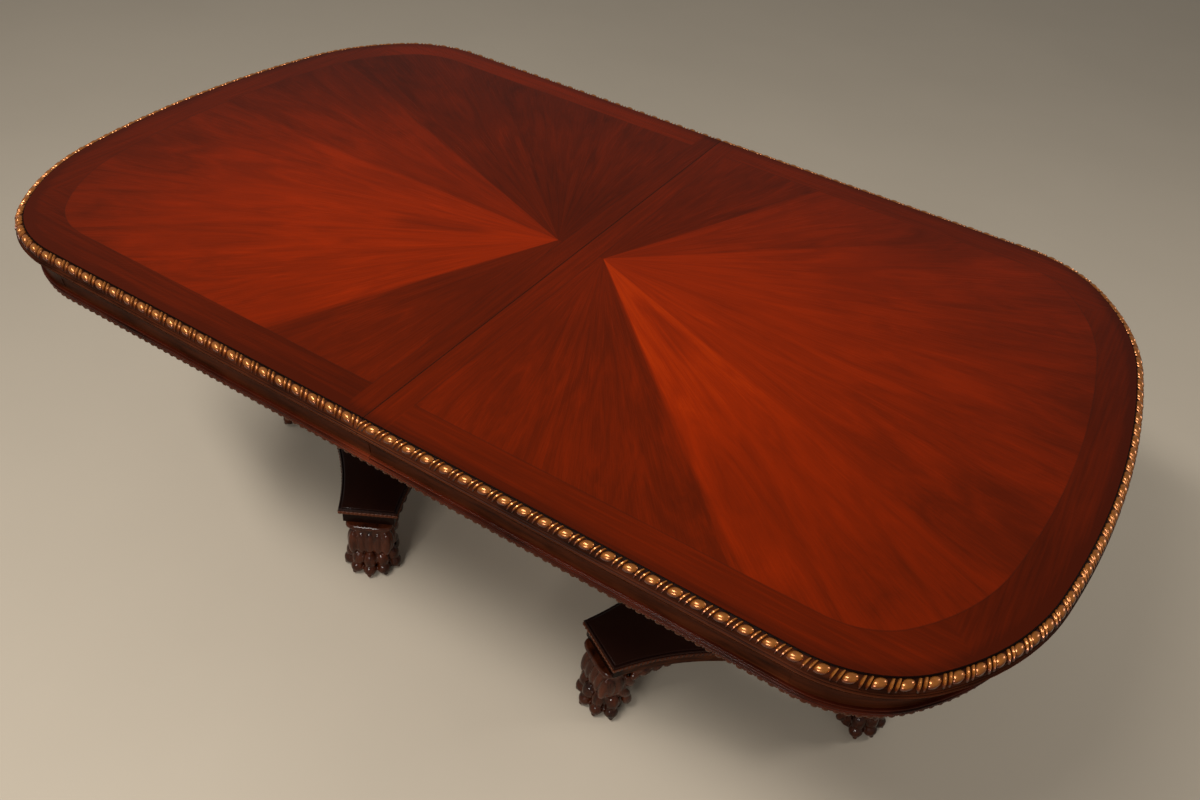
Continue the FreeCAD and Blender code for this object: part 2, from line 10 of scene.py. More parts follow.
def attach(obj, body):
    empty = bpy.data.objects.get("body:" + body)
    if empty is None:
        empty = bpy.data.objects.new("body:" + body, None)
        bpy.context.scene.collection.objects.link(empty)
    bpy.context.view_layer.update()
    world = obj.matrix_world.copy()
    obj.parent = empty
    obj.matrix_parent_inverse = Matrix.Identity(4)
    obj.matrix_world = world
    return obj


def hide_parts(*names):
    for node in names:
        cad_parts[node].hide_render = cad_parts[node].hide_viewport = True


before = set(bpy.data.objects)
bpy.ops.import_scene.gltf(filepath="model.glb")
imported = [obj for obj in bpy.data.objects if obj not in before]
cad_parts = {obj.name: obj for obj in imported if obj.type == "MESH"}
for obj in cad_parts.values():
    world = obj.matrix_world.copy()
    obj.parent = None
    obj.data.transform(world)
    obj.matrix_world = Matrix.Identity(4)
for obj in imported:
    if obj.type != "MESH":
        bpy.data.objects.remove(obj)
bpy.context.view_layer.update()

# Paw feet
# Six lion's paws, each carved from one mahogany block: a ledge under the arm, a fluted cuff that swells
# below it, and five round toes with short claws. Stained dark, lacquered, and screwed up into the arm.
PEDESTAL_X = 0.425
ARM_TURNS = {"outer": 0.0, "far": 120.0, "near": 240.0}
PAW_CENTRE = 0.274
PAW_BACK = 0.258
PAW_FLOOR = 0.003
PAW_TOP = 0.139
# Height, front and half width of the block, from the sole up
PAW_LEVELS = [
    (PAW_FLOOR, 0.308, 0.038), (0.020, 0.311, 0.040), (0.045, 0.311, 0.040), (0.060, 0.312, 0.0410),
    (0.066, 0.3185, 0.0455), (0.073, 0.3205, 0.0470), (0.084, 0.3175, 0.0450), (0.098, 0.3125, 0.0420),
    (0.112, 0.309, 0.0395), (0.119, 0.308, 0.039), (0.126, 0.315, 0.044), (0.130, 0.321, 0.0475),
    (0.1335, 0.322, 0.048), (PAW_TOP, 0.319, 0.046),
]
FLUTE_OUT, FLUTE_GAP, FLUTE_Z, FLUTE_LEAN = 0.0362, 0.0165, 0.084, -10.0
FLUTE_SIZE = (0.0100, 0.0108, 0.0290)
SIDE_FLUTES, SIDE_FLUTE_HALF, SIDE_FLUTE_Z = (0.026, 0.008), 0.0378, 0.083
SIDE_FLUTE_SIZE = (0.0108, 0.0095, 0.0280)
TOE_TURNS = (-66.0, -33.0, 0.0, 33.0, 66.0)
# Place, size and lean of a toe's knuckle, its tip and its claw
TOE_LUMPS = [
    ((0.0425, 0.0, 0.041), (0.0152, 0.0146, 0.0205), -10.0),
    ((0.0488, 0.0, 0.0182), (0.0144, 0.0140, 0.0152), 0.0),
    ((0.0590, 0.0, 0.0080), (0.0036, 0.0046, 0.0046), 25.0),
]
# Distance out, height and lean of the locks of hair on the paw's sides
HAIR_LOCKS = [(-0.012, 0.092, 25.0), (-0.004, 0.060, 40.0), (-0.013, 0.036, 15.0)]
HAIR_HALF, HAIR_SIZE = 0.0435, (0.0100, 0.0060, 0.0190)
PAW_VOXEL = 0.0016
STAIN_DARK = (0.008, 0.0020, 0.0010)
STAIN = (0.066, 0.0138, 0.0040)
STAIN_RUBBED = (0.240, 0.058, 0.0130)
# Pointiness below which recesses are painted dark as shade, and above which the edges are rubbed
RECESS_SHADE, RUBBED_EDGE = (0.40, 0.49), (0.52, 0.64)


class Field:
    """A shader value that can be used in sums: every sum adds a Math node."""

    def __init__(self, tree, socket):
        self.tree = tree
        self.socket = socket

    def node(self, kind, settings, inputs, output=0):
        """Adds one node: its type, its settings, its sockets' values or links, and the output wanted."""
        made = self.tree.nodes.new("ShaderNode" + kind)
        for name, value in settings.items():
            if name == "stops":
                ramp = made.color_ramp.elements
                while len(ramp) < len(value):
                    ramp.new(1.0)
                for element, (position, colour) in zip(ramp, value):
                    element.position = position
                    element.color = (*colour, 1.0)
            else:
                setattr(made, name, value)
        for name, value in inputs.items():
            socket = made.inputs[name]
            if isinstance(value, Field):
                self.tree.links.new(value.socket, socket)
            else:
                socket.default_value = (*value, 1.0) if socket.type == "RGBA" else value
        return Field(self.tree, made.outputs[output])

    def math(self, operation, *values):
        return self.node("Math", {"operation": operation}, dict(enumerate(values)))

    def __add__(self, other):
        return self.math("ADD", self, other)

    def __radd__(self, other):
        return self.math("ADD", other, self)

    def __sub__(self, other):
        return self.math("SUBTRACT", self, other)

    def __rsub__(self, other):
        return self.math("SUBTRACT", other, self)

    def __mul__(self, other):
        return self.math("MULTIPLY", self, other)

    def __rmul__(self, other):
        return self.math("MULTIPLY", other, self)

    def __truediv__(self, other):
        return self.math("DIVIDE", self, other)

    def __abs__(self):
        return self.math("ABSOLUTE", self)

    def step(self, low, high):
        """0 below low, 1 above high, smooth between."""
        limits = {"Value": self, "From Min": low, "From Max": high}
        return self.node("MapRange", {"interpolation_type": "SMOOTHSTEP"}, limits)

    def between(self, first, second):
        """The mix of two colours, this value being the share of the second."""
        return self.node("Mix", {"data_type": "RGBA"}, {0: self, 6: first, 7: second}, 2)

    def pick(self, no, yes):
        """One value where this one is 0 and another where it is 1."""
        return self.node("Mix", {}, {0: self, 2: no, 3: yes})

    def along(self, axis):
        """The X, Y or Z of a place."""
        return self.node("SeparateXYZ", {}, {"Vector": self}, axis)

    def stretched(self, scale):
        return self.node("Mapping", {}, {"Vector": self, "Scale": scale})

    def noise(self, scale, detail=4.0, roughness=0.55, distortion=0.0):
        inputs = {"Vector": self, "Scale": scale, "Detail": detail, "Roughness": roughness,
                  "Distortion": distortion}
        return self.node("TexNoise", {}, inputs)


def new_finish(name, roughness, coat=0.0, specular=0.5, metallic=0.0, coat_roughness=0.12):
    """A material, its shader and the object coordinates that its pattern reads."""
    material = bpy.data.materials.new(name)
    material.use_nodes = True
    tree = material.node_tree
    shader = tree.nodes["Principled BSDF"]
    settings = {"Roughness": roughness, "Coat Weight": coat, "Coat Roughness": coat_roughness,
                "Specular IOR Level": specular, "Metallic": metallic}
    for socket, value in settings.items():
        shader.inputs[socket].default_value = value
    return material, shader, Field(tree, tree.nodes.new("ShaderNodeTexCoord").outputs["Object"])


def feed(shader, socket, field):
    field.tree.links.new(field.socket, shader.inputs[socket])


def emboss(shader, height, strength, distance):
    inputs = {"Height": height, "Strength": strength, "Distance": distance}
    feed(shader, "Normal", height.node("Bump", {}, inputs))


def mahogany(name, dark, face, rubbed, grain, roughness, coat, specular, rub=RUBBED_EDGE, stain_and_shade_mask=None):
    """Stained and lacquered mahogany: painted dark in its recesses as shade, rubbed on its raised edges,
    and all dark where a mask is given, which is black on flats and painted shade at the platform's arm
    ends."""
    material, shader, place = new_finish(name, roughness, coat, specular)
    figure = place.stretched(grain).noise(6.0, detail=6.0, roughness=0.6, distortion=0.4)
    cloud = place.noise(14.0, detail=3.0)
    wood = (figure * 0.65 + cloud * 0.35).step(0.3, 0.72).between(dark, face)
    relief = place.node("NewGeometry", {}, {}, "Pointiness")
    # Painted shade: recesses found by pointiness darken to the dark colour; raised edges are rubbed
    # lighter.
    colour = relief.step(*rub).between(relief.step(*RECESS_SHADE).between(dark, wood), rubbed)
    # Where a mask is given the colour goes all dark: black stain on flats, painted shade at the arm ends.
    feed(shader, "Base Color", stain_and_shade_mask(place).between(colour, dark) if stain_and_shade_mask else colour)
    feed(shader, "Roughness", roughness + (figure - 0.5) * 0.16)
    emboss(shader, figure, strength=0.12, distance=0.0006)
    return material


carved_dark = mahogany("carved_dark_mahogany", STAIN_DARK, STAIN, STAIN_RUBBED,
                       grain=(9.0, 9.0, 2.0), roughness=0.22, coat=0.45, specular=0.03)


def lump(bm, place, size, turn=0.0, lean=0.0):
    """A rounded lump of carving, leaning out and then turned about the upright."""
    matrix = Matrix.Rotation(math.radians(turn), 4, "Z") @ Matrix.Translation(place)
    matrix = matrix @ Matrix.Rotation(math.radians(lean), 4, "Y") @ Matrix.Diagonal((*size, 1.0))
    bmesh.ops.create_uvsphere(bm, u_segments=16, v_segments=10, radius=1.0, matrix=matrix)


def stacked(bm, outline, places):
    """A closed skin through copies of one ring of points, each set by a matrix."""
    ring = [bm.verts.new(places[0] @ Vector(point)) for point in outline]
    edges = [bm.edges.new((ring[k - 1], ring[k])) for k in range(len(ring))]
    bmesh.ops.contextual_create(bm, geom=ring)
    for last, place in zip(places, places[1:]):
        grown = bmesh.ops.extrude_edge_only(bm, edges=edges)["geom"]
        ring = [g for g in grown if isinstance(g, bmesh.types.BMVert)]
        edges = [g for g in grown if isinstance(g, bmesh.types.BMEdge)]
        bmesh.ops.transform(bm, matrix=place @ last.inverted(), verts=ring)
    bmesh.ops.contextual_create(bm, geom=edges)


def new_mesh(name, bm):
    mesh = bpy.data.meshes.new(name)
    bmesh.ops.recalc_face_normals(bm, faces=bm.faces)
    bm.to_mesh(mesh)
    bm.free()
    return mesh


def blended(name, bm, voxel):
    """The overlapping lumps of a carving joined into one smooth skin."""
    block = bpy.data.objects.new(name, new_mesh(name, bm))
    bpy.context.scene.collection.objects.link(block)
    join = block.modifiers.new("join", "REMESH")
    join.mode = "VOXEL"
    join.voxel_size = voxel
    soften = block.modifiers.new("soften", "SMOOTH")
    soften.iterations = 2
    skin = bpy.data.meshes.new_from_object(block.evaluated_get(bpy.context.evaluated_depsgraph_get()))
    bpy.data.objects.remove(block)
    return skin


def put(name, mesh, finish, body, stands_for=(), crease=40.0):
    """Makes a piece, lets it ride on its body and shows it in place of a solid."""
    mesh.materials.clear()
    mesh.materials.append(finish)
    mesh.shade_smooth()
    mesh.set_sharp_from_angle(angle=math.radians(crease))
    piece = bpy.data.objects.new(name, mesh)
    bpy.context.scene.collection.objects.link(piece)
    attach(piece, body)
    if stands_for:
        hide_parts(*stands_for)


HALF_TURN = Matrix.Rotation(math.pi, 4, "Z")
OPPOSITE = {"near": "far", "far": "near", "outer": "outer"}
to_pedestal = Matrix.Translation((PEDESTAL_X, 0.0, 0.0))


def on_arms(kind, mesh, finish):
    """The same carving on the three arms of both pedestals."""
    for arm, turn in ARM_TURNS.items():
        right = to_pedestal @ Matrix.Rotation(math.radians(turn), 4, "Z")
        for half, side, place in (("right", arm, right), ("left", OPPOSITE[arm], HALF_TURN @ right)):
            copy = mesh.copy()
            copy.transform(place)
            node = f"{half}_{side}_{kind}"
            put("carved_" + node, copy, finish, half + "_half", [node])


def rounded_square(count, power):
    """Points round a square with soft corners, two units wide."""
    turns = [2 * math.pi * k / count for k in range(count)]
    soften = 2.0 / power
    return [(math.copysign(abs(math.cos(t)) ** soften, math.cos(t)),
             math.copysign(abs(math.sin(t)) ** soften, math.sin(t)), 0.0) for t in turns]


paw = bmesh.new()
paw_places = []
for z, front, half in PAW_LEVELS:
    size = Matrix.Diagonal(((front - PAW_BACK) / 2, half, 1.0, 1.0))
    paw_places.append(Matrix.Translation(((front + PAW_BACK) / 2 - PAW_CENTRE, 0.0, z)) @ size)
stacked(paw, rounded_square(40, 4.0), paw_places)
for k in range(-2, 3):
    lump(paw, (FLUTE_OUT, FLUTE_GAP * k, FLUTE_Z), FLUTE_SIZE, lean=FLUTE_LEAN)
for side in (-1, 1):
    for x in SIDE_FLUTES:
        lump(paw, (x, side * SIDE_FLUTE_HALF, SIDE_FLUTE_Z), SIDE_FLUTE_SIZE)
for turn in TOE_TURNS:
    for place, size, lean in TOE_LUMPS:
        lump(paw, place, size, turn, lean)
for side in (-1, 1):
    for x, z, lean in HAIR_LOCKS:
        lump(paw, (x, side * HAIR_HALF, z), HAIR_SIZE, lean=lean)
bmesh.ops.transform(paw, matrix=Matrix.Translation((PAW_CENTRE, 0.0, 0.0)), verts=paw.verts)
on_arms("paw", blended("paw", paw, PAW_VOXEL), carved_dark)


# Leaf brackets
# Behind each paw a carved acanthus bracket runs up under the arm and flares with the platform's hollow
# sides. Its lower edges are cut in leaf tips. It is glued to the paw's back and to the platform.
BRACKET_LENGTH = 0.118
BRACKET_DEPTH, BRACKET_THIN_END = 0.046, 0.001
BRACKET_FRONT_HALF, BRACKET_BACK_HALF = 0.046, 0.075
BRACKET_SET_IN = 0.003
BRACKET_STEPS = 8
BRACKET_VOXEL = 0.0018
LEAF_TIPS, LEAF_SIZE = 6, 0.0125
# Shift along, distance in from the side, share of the depth, thickness, flatness and lean of a leaf
SIDE_LEAVES = [(0.002, 0.004, 0.80, 0.0062, 0.70, 35.0), (-0.006, 0.003, 0.42, 0.0046, 0.36, 50.0)]
UNDER_LEAF_DEPTH, UNDER_LEAF_THICK, UNDER_LEAF_FLAT, UNDER_LEAF_LEAN = 0.97, 0.0110, 0.38, 24.0


def bracket_station(share):
    """Distance out, half width and depth of the bracket at a share of its length."""
    half = BRACKET_FRONT_HALF + (BRACKET_BACK_HALF - BRACKET_FRONT_HALF) * share
    depth = BRACKET_DEPTH * (1.0 - share) ** 1.6 + BRACKET_THIN_END
    return PAW_BACK - share * BRACKET_LENGTH, half, depth


def trim(bm, point, outwards):
    """Cuts off what lies beyond a plane and closes the cut."""
    cut = bmesh.ops.bisect_plane(bm, geom=bm.verts[:] + bm.edges[:] + bm.faces[:], plane_co=point,
                                 plane_no=outwards, clear_outer=True)
    bmesh.ops.holes_fill(bm, edges=[g for g in cut["geom_cut"] if isinstance(g, bmesh.types.BMEdge)])


bracket = bmesh.new()
bracket_places = []
for k in range(BRACKET_STEPS + 1):
    x, half, depth = bracket_station(k / BRACKET_STEPS * 0.98)
    size = Matrix.Diagonal((1.0, half - BRACKET_SET_IN, depth / 2, 1.0))
    bracket_places.append(Matrix.Translation((x, 0.0, PAW_TOP - depth / 2)) @ size)
stacked(bracket, [(0.0, x, y) for x, y, _ in rounded_square(28, 9.0)], bracket_places)
for k in range(LEAF_TIPS):
    x, half, depth = bracket_station((k + 0.4) / LEAF_TIPS)
    size = LEAF_SIZE * (1.15 - 0.55 * k / LEAF_TIPS)
    for side in (-1, 1):
        for shift, set_in, share, thick, flat, lean in SIDE_LEAVES:
            place = (x + shift, side * (half - set_in), PAW_TOP - depth * share)
            lump(bracket, place, (size, thick, size * flat), lean=lean)
        lump(bracket, (x, side * half * 0.5, PAW_TOP - depth * UNDER_LEAF_DEPTH),
             (size, UNDER_LEAF_THICK, size * UNDER_LEAF_FLAT), lean=UNDER_LEAF_LEAN)
trim(bracket, (0, 0, PAW_TOP), (0, 0, 1))
on_arms("bracket", blended("bracket", bracket, BRACKET_VOXEL), carved_dark)


# Pedestal platforms
# Each base is a three-armed mahogany platform with hollow sides: a plain body, and a slab on it whose
# edge has a carved band, a quirk and a fine bead. The slab's flat top is stained almost black.
ARM_REACH = 0.314
ARM_HALF = 0.058
WAIST = 0.148
BODY_SETBACK = 0.007
SLAB_LOW, SLAB_HIGH = 0.166, 0.181
BODY_LOW = PAW_TOP
SIDE_STEPS = 28
# Distance set in and rise of the slab's edge moulding and of the body's side
SLAB_EDGE = [
    (0.0010, 0.0), (0.0004, 0.0008), (0.0, 0.0016), (0.0, 0.0064), (0.0006, 0.0074), (0.0018, 0.0076),
    (0.0020, 0.0090), (0.0008, 0.0098), (0.0004, 0.0112), (0.0010, 0.0126), (0.0024, 0.0134),
    (0.0036, 0.0128), (0.0042, 0.0118), (0.0052, 0.0118), (0.0054, 0.0138), (0.0064, 0.0147),
    (0.0078, 0.0150),
]
BODY_EDGE = [(0.0, 0.0), (0.0, 0.004), (0.0, 0.023), (0.0, SLAB_LOW - BODY_LOW)]
QUIRK_LOW, QUIRK_HIGH = 0.0074, 0.0082
# Distances from the pedestal's axis over which the arm ends darken, as painted shade under the slab
END_SHADE_START, END_SHADE_FULL = 0.280, 0.300
ROPE_PITCH, ROPE_RISE = 0.0085, 0.0040
STRAND_LEAN, STRAND_SIZE = math.radians(38.0), (0.0019, 0.0016, 0.0040)


def slab_flat(place):
    """1 on the slab's flat and on the bead round it, which are stained black."""
    return place.along("Z").step(SLAB_LOW + QUIRK_LOW, SLAB_LOW + QUIRK_HIGH)


def arm_end_shade(place):
    """1 at the ends of the arms, where the body under the slab is painted dark as shade."""
    y = place.along("Y")
    from_axis = abs(place.along("X")) - PEDESTAL_X
    return y.math("SQRT", from_axis * from_axis + y * y).step(END_SHADE_START, END_SHADE_FULL)


platform_black = mahogany(
    "platform_black_mahogany", (0.0150, 0.0052, 0.0036), (0.042, 0.0100, 0.0034), (0.085, 0.0210, 0.0066),
    grain=(3.0, 14.0, 14.0), roughness=0.24, coat=0.15, specular=0.05, stain_and_shade_mask=slab_flat)
# The body is painted dark at its arm ends as shade under the slab.
body_brown = mahogany(
    "platform_brown_mahogany", (0.0060, 0.0018, 0.0010), (0.070, 0.0170, 0.0050), (0.130, 0.034, 0.010),
    grain=(3.0, 3.0, 18.0), roughness=0.3, coat=0.06, specular=0.03, stain_and_shade_mask=arm_end_shade)


def platform_points(setback):
    """The three-armed outline: square arm ends, and between them arcs that pass through the waist."""
    reach, half, waist = ARM_REACH - setback, ARM_HALF - setback, WAIST - setback
    inward = Vector((math.cos(math.pi / 3), math.sin(math.pi / 3), 0.0))
    corner = Vector((reach, half, 0.0))
    along, across = corner.dot(inward), corner.cross(inward).length
    radius = (across ** 2 + (along - waist) ** 2) / (2 * (along - waist))
    spread = math.asin(across / radius)
    side = []
    for k in range(SIDE_STEPS + 1):
        angle = math.pi * 4 / 3 + spread * (2 * k / SIDE_STEPS - 1)
        side.append(inward * (waist + radius) + radius * Vector((math.cos(angle), math.sin(angle), 0.0)))
    if side[0].x < side[-1].x:
        side.reverse()
    turns = [Matrix.Rotation(math.radians(turn), 3, "Z") for turn in ARM_TURNS.values()]
    return [turn @ point for turn in turns for point in side]


def platform_layer(setback, low, edge):
    """A platform layer built up from rings that follow its edge."""
    bm = bmesh.new()
    rings = []
    for inset, rise in edge:
        rings.append([bm.verts.new((p.x, p.y, low + rise)) for p in platform_points(setback + inset)])
    loops = [[bm.edges.new((ring[k - 1], ring[k])) for k in range(len(ring))] for ring in rings]
    for lower, upper in zip(loops, loops[1:]):
        bmesh.ops.bridge_loops(bm, edges=lower + upper)
    for ring in (rings[0], rings[-1]):
        bmesh.ops.contextual_create(bm, geom=ring)
    return bm


def repeated(unit, places):
    """Copies of one small carving set at many places."""
    bm = bmesh.new()
    for place in places:
        copy = unit.copy()
        copy.transform(place)
        bm.from_mesh(copy)
        bpy.data.meshes.remove(copy)
    return bm


def on_pedestals(work, kind, mesh, finish):
    """The same piece on both pedestals."""
    for half, place in (("right", to_pedestal), ("left", HALF_TURN @ to_pedestal)):
        copy = mesh.copy()
        copy.transform(place)
        node = f"{half}_{kind}"
        put(f"{work}_{node}", copy, finish, half + "_half", [node], crease=30.0)


strand = bmesh.new()
strand_lay = Matrix.Rotation(STRAND_LEAN, 4, "Y") @ Matrix.Diagonal((*STRAND_SIZE, 1.0))
bmesh.ops.create_uvsphere(strand, u_segments=8, v_segments=6, radius=1.0, matrix=strand_lay)
rope_places = []
rope_outline = platform_points(0.0)
for first, second in zip(rope_outline, rope_outline[1:] + rope_outline[:1]):
    run = second - first
    turned = Matrix.Rotation(math.atan2(run.y, run.x), 4, "Z")
    count = max(1, round(run.length / ROPE_PITCH))
    for k in range(count):
        middle = first + run * ((k + 0.5) / count)
        rope_places.append(Matrix.Translation(middle + Vector((0, 0, SLAB_LOW + ROPE_RISE))) @ turned)
slab = platform_layer(0.0, SLAB_LOW, SLAB_EDGE)
slab.from_mesh(new_mesh("rope", repeated(new_mesh("strand", strand), rope_places)))
body = platform_layer(BODY_SETBACK, BODY_LOW, BODY_EDGE)
on_pedestals("moulded", "platform_body", new_mesh("body", body), body_brown)
on_pedestals("moulded", "platform_slab", new_mesh("slab", slab), platform_black)


# Turned columns
# A vase-shaped mahogany column stands on each platform: a ring at the foot, a swelling body, a neck ring
# and a tapered shaft with a capital under the top block. Turned in one piece and drawn tight by a rod.
COLUMN_FOOT, COLUMN_TOP = SLAB_HIGH, 0.664
# Radius and height
COLUMN_OUTLINE = [
    (0.0, COLUMN_FOOT), (0.090, COLUMN_FOOT), (0.0965, 0.185), (0.098, 0.192), (0.0955, 0.199),
    (0.089, 0.203), (0.082, 0.204), (0.074, 0.208), (0.066, 0.217), (0.061, 0.228), (0.060, 0.233),
    (0.064, 0.240), (0.074, 0.262), (0.083, 0.286), (0.0875, 0.310), (0.088, 0.335), (0.083, 0.362),
    (0.073, 0.388), (0.060, 0.414), (0.050, 0.434), (0.046, 0.443), (0.054, 0.445), (0.060, 0.449),
    (0.062, 0.454), (0.060, 0.459), (0.054, 0.463), (0.046, 0.465), (0.046, 0.480), (0.047, 0.520),
    (0.049, 0.560), (0.053, 0.605), (0.058, 0.638), (0.070, 0.640), (0.080, 0.643), (0.086, 0.649),
    (0.087, 0.655), (0.087, COLUMN_TOP), (0.0, COLUMN_TOP),
]
COLUMN_STEPS = 72
SAME_PLACE = 1e-6
column_dark = mahogany(
    "column_dark_mahogany", (0.008, 0.002, 0.0012), (0.045, 0.0115, 0.0052), (0.110, 0.030, 0.013),
    grain=(9.0, 9.0, 1.5), roughness=0.24, coat=0.3, specular=0.06)
column = bmesh.new()
chain = [column.verts.new((radius, 0.0, z)) for radius, z in COLUMN_OUTLINE]
chain += [column.edges.new(pair) for pair in zip(chain, chain[1:])]
bmesh.ops.spin(column, geom=chain, cent=(0, 0, 0), axis=(0, 0, 1), dvec=(0, 0, 0), angle=2 * math.pi,
               steps=COLUMN_STEPS, use_merge=True)
bmesh.ops.remove_doubles(column, verts=column.verts, dist=SAME_PLACE)
on_pedestals("turned", "column", new_mesh("column", column), column_dark)


# Hidden carcase wood
# Top blocks, bearers, runners, glue blocks and seam pins are planed hardwood left bare under the top, and
# the runners are waxed where they slide. They keep the shape of the solids.
BARE_PALE = (0.42, 0.25, 0.12)
BARE_DARK = (0.27, 0.14, 0.06)


def bare_wood(name, grain):
    material, shader, place = new_finish(name, roughness=0.6)
    figure = place.stretched(grain).noise(9.0, detail=6.0, roughness=0.6, distortion=0.6)
    pores = place.stretched(grain).noise(120.0, detail=2.0)
    wood = (figure * 0.8 + pores * 0.2).step(0.32, 0.68).between(BARE_PALE, BARE_DARK)
    feed(shader, "Base Color", wood)
    feed(shader, "Roughness", 0.5 + figure * 0.22)
    emboss(shader, pores, strength=0.2, distance=0.0005)
    return material


def dress(finish, *names):
    """Gives solids that stay as they are a finish."""
    for name in names:
        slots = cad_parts[name].data.materials
        slots.clear()
        slots.append(finish)


lengthwise = bare_wood("bare_hardwood_lengthwise", grain=(1.2, 16.0, 16.0))
crosswise = bare_wood("bare_hardwood_crosswise", grain=(16.0, 1.2, 16.0))
for side in ("near", "far"):
    dress(lengthwise, f"{side}_runner_left", f"{side}_runner_middle", f"{side}_runner_right")
dress(lengthwise, "seam_pins")
for half in ("left", "right"):
    dress(crosswise, f"{half}_bearers", f"{half}_corner_blocks", f"{half}_top_block")


# Metal fittings
# The tie rods and the glides are zinc-plated steel. The locks under the seam are brass: pressed plates,
# a hooked lever that turns on a pivot, and a keeper for the hook.
ZINC, ZINC_DULL = (0.55, 0.55, 0.53), (0.36, 0.35, 0.33)
BRASS, BRASS_DULL = (0.62, 0.42, 0.15), (0.30, 0.18, 0.07)
METAL_ROUGHNESS = 0.34


def metal(name, bright, dull):
    material, shader, place = new_finish(name, METAL_ROUGHNESS, metallic=1.0)
    brush = place.stretched((40.0, 6.0, 40.0)).noise(20.0, detail=3.0)
    tarnish = place.noise(60.0).step(0.45, 0.75)
    feed(shader, "Base Color", tarnish.between(bright, dull))
    feed(shader, "Roughness", METAL_ROUGHNESS + (brush - 0.5) * 0.2 + tarnish * 0.12)
    emboss(shader, brush, strength=0.1, distance=0.0002)
    return material


zinc = metal("zinc_plate", ZINC, ZINC_DULL)
dress(zinc, "left_tie_rod", "right_tie_rod", "left_glides", "right_glides")
brass = metal("lock_brass", BRASS, BRASS_DULL)
dress(brass, "lock_plates", "lock_pivots", "lock_keepers", "near_lock_lever", "far_lock_lever")


# Apron rails
# The apron under the top is a hollow-faced mahogany rail, straight along the sides and bent in
# laminations round the ends, stained dark brown and lacquered.
SEAM = 0.0002
TOP_Z = 0.762
FLAT_HALF_WIDTH = 0.538
FLAT_HALF_LENGTH = 0.889
CORNER_RADIUS, SHOULDER_RADIUS, END_RADIUS = 0.190, 0.405, 1.626
TURN_ANGLE = math.radians(90.0 - 49.2)
STRAIGHT_STEPS = 8
ARC_STEP, LEAST_ARC_STEPS, WIDE_RADIUS = math.radians(2.5), 4, 0.6
RAIL_BACK, RAIL_TOP, RAIL_FOOT = -0.034, -0.024, -0.076
COVE_TOP, COVE_FOOT, COVE_SAG = 0.014, -0.009, 0.007
COVE_STEPS = 12
BENT_GRAIN = (2.0, 2.0, 18.0)


def polar(centre, radius, angle):
    return centre + radius * Vector((math.cos(angle), math.sin(angle), 0.0))


turn_sine = math.sin(TURN_ANGLE)
end_rise = FLAT_HALF_WIDTH - SHOULDER_RADIUS * turn_sine - CORNER_RADIUS * (1 - turn_sine)
end_angle = math.asin(end_rise / (END_RADIUS - SHOULDER_RADIUS))
end_centre = Vector((FLAT_HALF_LENGTH - END_RADIUS, 0.0, 0.0))
shoulder_centre = polar(end_centre, END_RADIUS - SHOULDER_RADIUS, end_angle)
corner_centre = polar(shoulder_centre, SHOULDER_RADIUS - CORNER_RADIUS, TURN_ANGLE)
to_near = Matrix.Diagonal((1.0, -1.0, 1.0))
rim_arcs = [
    (to_near @ corner_centre, CORNER_RADIUS, -math.pi / 2, -TURN_ANGLE),
    (to_near @ shoulder_centre, SHOULDER_RADIUS, -TURN_ANGLE, -end_angle),
    (end_centre, END_RADIUS, -end_angle, end_angle),
    (shoulder_centre, SHOULDER_RADIUS, end_angle, TURN_ANGLE),
    (corner_centre, CORNER_RADIUS, TURN_ANGLE, math.pi / 2),
]
straight = corner_centre.x - SEAM
stretch_lengths = [straight] + [radius * (high - low) for _, radius, low, high in rim_arcs] + [straight]
last_stretch = len(stretch_lengths) - 1
rim_length = sum(stretch_lengths)


def rim_frame(distance, out=0.0, z=0.0):
    """Axes at a distance from the near seam round the flat's rim: X back along it, Y outwards, Z up."""
    for stretch, length in enumerate(stretch_lengths):
        if distance <= length or stretch == last_stretch:
            break
        distance -= length
    if stretch == 0:
        point, outwards = Vector((SEAM + distance, -FLAT_HALF_WIDTH, 0.0)), Vector((0, -1, 0))
    elif stretch == last_stretch:
        point, outwards = Vector((corner_centre.x - distance, FLAT_HALF_WIDTH, 0.0)), Vector((0, 1, 0))
    else:
        centre, radius, low, _ = rim_arcs[stretch - 1]
        outwards = polar(Vector((0, 0, 0)), 1.0, low + distance / radius)
        point = centre + radius * outwards
    axes = Matrix((outwards.cross((0, 0, 1)), outwards, Vector((0, 0, 1)))).transposed().to_4x4()
    return Matrix.Translation(point + outwards * out + Vector((0, 0, TOP_Z + z))) @ axes


def rim_sweep(section, first=0, last=last_stretch):
    """A section of (out, z) points run round the right half: straight 0, the arcs 1 to 5, straight 6."""
    bm = bmesh.new()
    start = rim_frame(sum(stretch_lengths[:first]) + 1e-9)
    ring = [bm.verts.new(start @ Vector((0.0, out, z))) for out, z in section]
    geometry = ring + [bm.edges.new((ring[k - 1], ring[k])) for k in range(len(ring))]
    bmesh.ops.contextual_create(bm, geom=ring)
    for stretch in range(first, last + 1):
        if stretch in (0, last_stretch):
            run = straight / STRAIGHT_STEPS if stretch == 0 else -straight / STRAIGHT_STEPS
            path = {"cent": (0, 0, 0), "dvec": (run, 0.0, 0.0), "angle": 0.0, "steps": STRAIGHT_STEPS}
        else:
            centre, radius, low, high = rim_arcs[stretch - 1]
            steps = round((high - low) / ARC_STEP * max(1.0, radius / WIDE_RADIUS))
            path = {"cent": centre, "dvec": (0, 0, 0), "angle": high - low,
                    "steps": max(LEAST_ARC_STEPS, steps)}
        geometry = bmesh.ops.spin(bm, geom=geometry, axis=(0, 0, 1), **path)["geom_last"]
    bmesh.ops.contextual_create(bm, geom=geometry)
    bmesh.ops.remove_doubles(bm, verts=bm.verts, dist=SAME_PLACE)
    return bm


